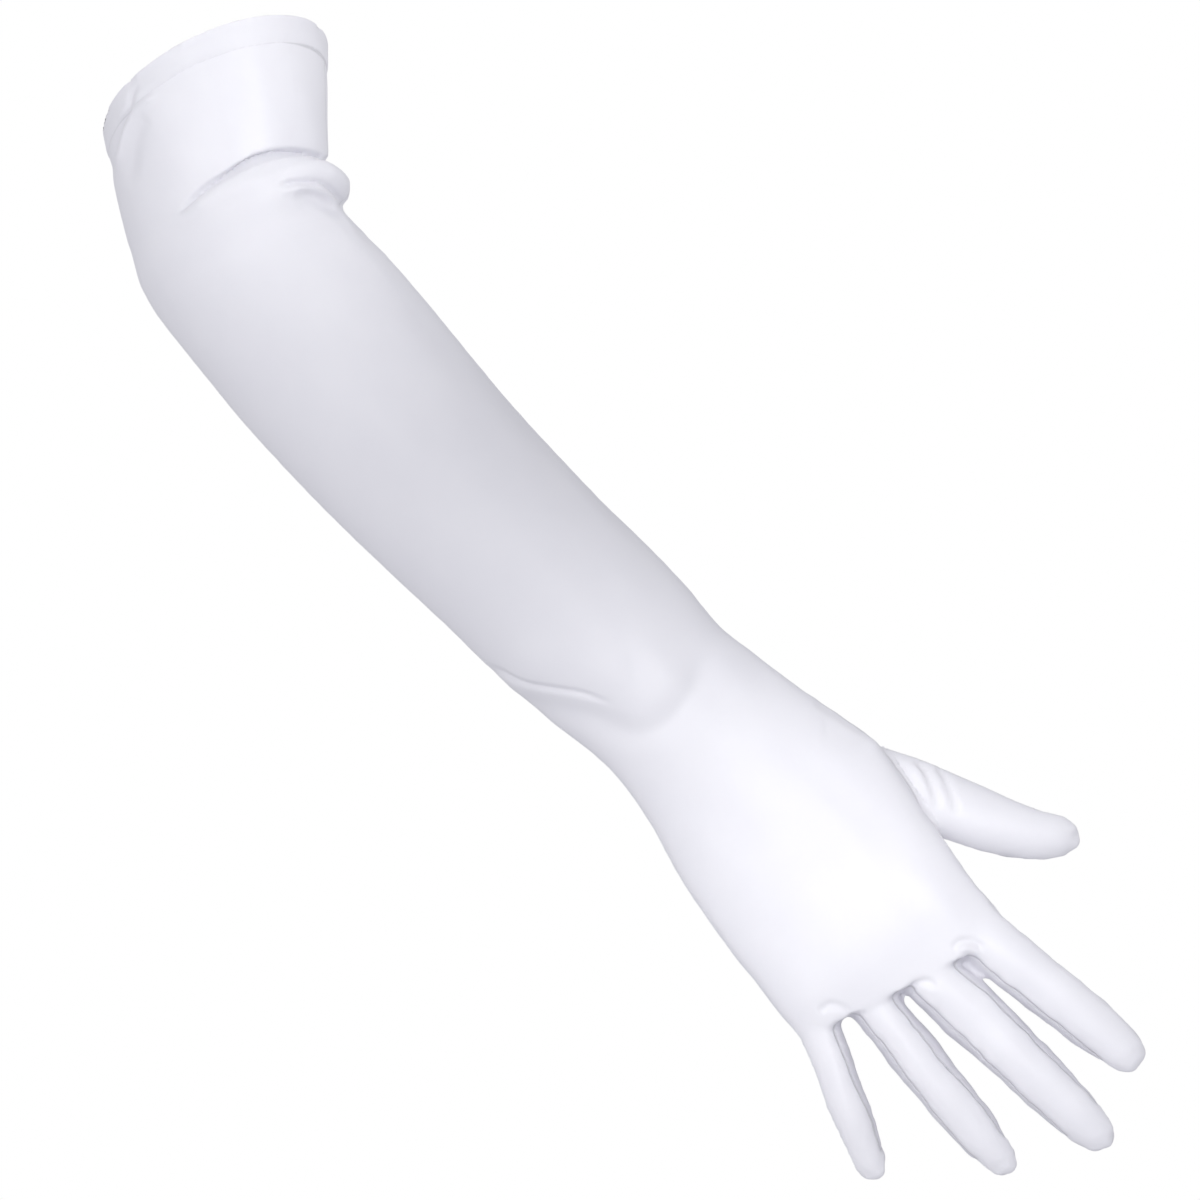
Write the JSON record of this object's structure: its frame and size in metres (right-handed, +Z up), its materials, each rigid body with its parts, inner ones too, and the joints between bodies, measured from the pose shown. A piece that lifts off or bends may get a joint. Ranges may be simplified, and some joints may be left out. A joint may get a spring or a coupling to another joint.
{
  "type": "long glove",
  "caption": "Elbow-length satin dress glove for the right hand, an open cloth sleeve bent at the elbow that runs into a hand with spread fingers and a thumb.",
  "frame": {"origin": "middle of the opening where the arm goes in", "axes": "+Z up as worn with the hand hanging down, -Y is the side that the back of the hand faces, +X is the side that the fingers reach towards"},
  "size_m": [0.3493, 0.1189, 0.3904],
  "materials": {
    "satin": "white stretch satin with a soft lavender-grey sheen"
  },
  "bodies": {
    "root": {"cuff_hem": "satin", "back_panel": "satin", "palm_panel": "satin", "thumb_back": "satin", "thumb_palm": "satin", "fourchette_index_middle": "satin", "fourchette_middle_ring": "satin", "fourchette_ring_little": "satin"}
  },
  "joints": []
}
